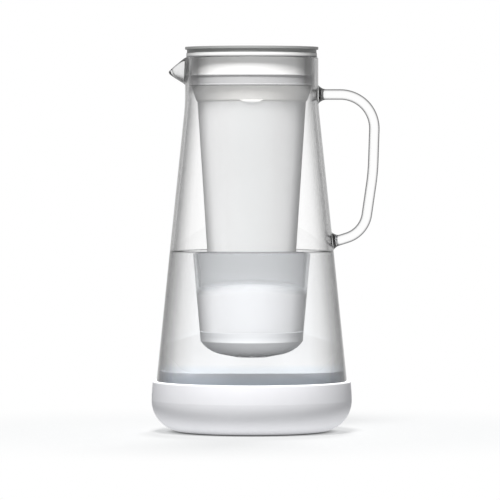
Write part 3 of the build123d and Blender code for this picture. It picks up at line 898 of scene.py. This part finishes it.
def handle_tree():
    """Geometry Nodes that sweep a rod with two welded feet along a curve."""
    group = bpy.data.node_groups.new("welded_rod", "GeometryNodeTree")
    face = group.interface
    face.new_socket("Geometry", in_out="INPUT", socket_type="NodeSocketGeometry")
    for name, value in (("Rod Radius", ROD_R), ("Weld Radius", WELD_R), ("Weld Length", WELD_LENGTH)):
        face.new_socket(name, in_out="INPUT", socket_type="NodeSocketFloat").default_value = value * MM
    face.new_socket("Material", in_out="INPUT", socket_type="NodeSocketMaterial")
    face.new_socket("Geometry", in_out="OUTPUT", socket_type="NodeSocketGeometry")
    tree = Tree(group)
    given = {name: tree.node("NodeGroupInput", output=name)
             for name in ("Geometry", "Rod Radius", "Weld Radius", "Weld Length", "Material")}
    path = tree.node("GeometryNodeResampleCurve", {"mode": "LENGTH"}, {
        "Curve": given["Geometry"], "Length": ROD_STEP * MM,
    })
    along = tree.node("GeometryNodeSplineParameter", output="Length")
    whole = tree.node("GeometryNodeSplineLength", output="Length")
    from_end = along.at_most(whole - along)
    spread = (1.0 - from_end / given["Weld Length"]).at_least(0.0)
    radius = given["Rod Radius"] + (given["Weld Radius"] - given["Rod Radius"]) * spread ** WELD_FLARE
    thick = tree.node("GeometryNodeSetCurveRadius", {}, {"Curve": path, "Radius": radius})
    circle = tree.node("GeometryNodeCurvePrimitiveCircle", {}, {"Resolution": ROD_SIDES, "Radius": 1.0})
    swept = tree.node("GeometryNodeCurveToMesh", {}, {
        "Curve": thick, "Profile Curve": circle, "Scale": radius, "Fill Caps": True,
    })
    real = tree.node("GeometryNodeRealizeInstances", {}, {"Geometry": swept})
    dressed = tree.node("GeometryNodeSetMaterial", {}, {"Geometry": real, "Material": given["Material"]})
    tree.node("NodeGroupOutput", {}, {"Geometry": dressed})
    return group


def grown(name, source, group, material):
    """The mesh that a Geometry Nodes tree makes from an object, as a plain mesh."""
    modifier = source.modifiers.new("grow", "NODES")
    modifier.node_group = group
    for item in group.interface.items_tree:
        if item.in_out == "INPUT" and item.socket_type == "NodeSocketMaterial":
            modifier[item.identifier] = material
    bpy.context.view_layer.update()
    shape = source.evaluated_get(bpy.context.evaluated_depsgraph_get())
    mesh = bpy.data.meshes.new_from_object(shape)
    mesh.name = name
    source.modifiers.remove(modifier)
    bpy.data.objects.remove(source)
    return mesh


rod_mesh = grown("handle_rod", rod_path, handle_tree(), jug_glass)
rod_mesh.shade_smooth()
rod = placed("handle_rod", rod_mesh, jug_glass)
print("handle mesh", len(rod_mesh.polygons), "faces")

# %% [markdown]
# The rod and the jug are one piece of glass. If they only overlapped, light would bend at a wall that
# isn't there, so a Boolean joins them into one skin.

# %% One glass
def joined(first, second):
    """The two closed meshes as one skin."""
    modifier = first.modifiers.new("join", "BOOLEAN")
    modifier.operation = "UNION"
    modifier.solver = "EXACT"
    modifier.object = second
    bpy.context.view_layer.update()
    shape = first.evaluated_get(bpy.context.evaluated_depsgraph_get())
    mesh = bpy.data.meshes.new_from_object(shape)
    first.modifiers.remove(modifier)
    first.data = mesh
    bpy.data.objects.remove(second)
    return first


jug = joined(jug, rod)
jug.data.shade_smooth()
jug.data.materials.clear()
jug.data.materials.append(jug_glass)
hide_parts("glass_jug", "glass_handle")
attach(jug, "jug")
print("glass", len(jug.data.polygons), "faces")

# %% [markdown]
# ## The water
# The jug is half full, and the water stands as high inside the hopper as outside it. Its skin reaches
# a little into the glass, so that no film of air shows between the two. Its edge climbs the wall by
# about a third of a millimetre, as water does on clean glass.

# %% Water
OVERLAP = 0.12
CLIMB = 0.35
CLIMB_REACH = 0.6
WATER_ROWS = 60
WATER_COLUMNS = 192


def water_profile():
    """Out along the bottom, up the wall, over the climbing edge and in along the level."""
    inner_corner = FOOT_R - GLASS_WALL + OVERLAP
    foot_r = GLASS_LOW_R - FOOT_R
    low_z = GLASS_FLOOR_Z - OVERLAP
    start_z = low_z + inner_corner
    points = [(foot_r * part, low_z) for part in (0.33, 0.66)]
    points += foot_arc(foot_r, start_z, inner_corner)
    for row in range(WATER_ROWS + 1):
        z = lerp(start_z, WATER_Z + CLIMB, row / WATER_ROWS)
        points.append((wall_radius(z) - GLASS_WALL + OVERLAP, z))
    edge_r = points[-1][0]
    for back in (0.25, 0.5, 0.9, 1.5, 2.4, 4.0):
        points.append((edge_r - back, WATER_Z + CLIMB * math.exp(-back / CLIMB_REACH)))
    points += [(edge_r * part, WATER_Z) for part in (0.8, 0.5, 0.2)]
    return points


water_mesh = turned_mesh("water_fill", [water_profile()] * WATER_COLUMNS, GLASS_FLOOR_Z - OVERLAP, WATER_Z)
water = placed("water_fill", water_mesh, fresh_water)
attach(water, "jug")
print("water", len(water_mesh.polygons), "faces")

# %% [markdown]
# ## Finishes on the CAD pieces
# The remaining pieces keep their measured CAD shapes, and each gets its finish.

# %% Dress the CAD pieces
finishes = {
    "base_boot": boot_skin,
    "rim_seal": soft_seal,
    "wall_seal": soft_seal,
    "collar_ring": white_skin,
    "hinge_pin": pin_steel,
    "lid_disc": lid_skin,
    "lid_plug": white_skin,
    "lid_seal": soft_seal,
    "hopper": hopper_skin,
    "hopper_seal": soft_seal,
    "cartridge_shell": filter_skin,
    "cartridge_dome": filter_skin,
    "inlet_screen": net_thread,
    "upper_felt": felt_fibre,
    "carbon_bed": carbon_grain,
    "lower_felt": felt_fibre,
    "outlet_screen": net_thread,
    "cartridge_seal": soft_seal,
    "cup_shell": cup_skin,
    "potting_disc": resin_skin,
    "fibre_bundle": fibre_strand,
    "cup_seal": soft_seal,
}
for name, material in finishes.items():
    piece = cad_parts[name]
    piece.data.materials.clear()
    piece.data.materials.append(material)
print("dressed", len(finishes), "CAD pieces")
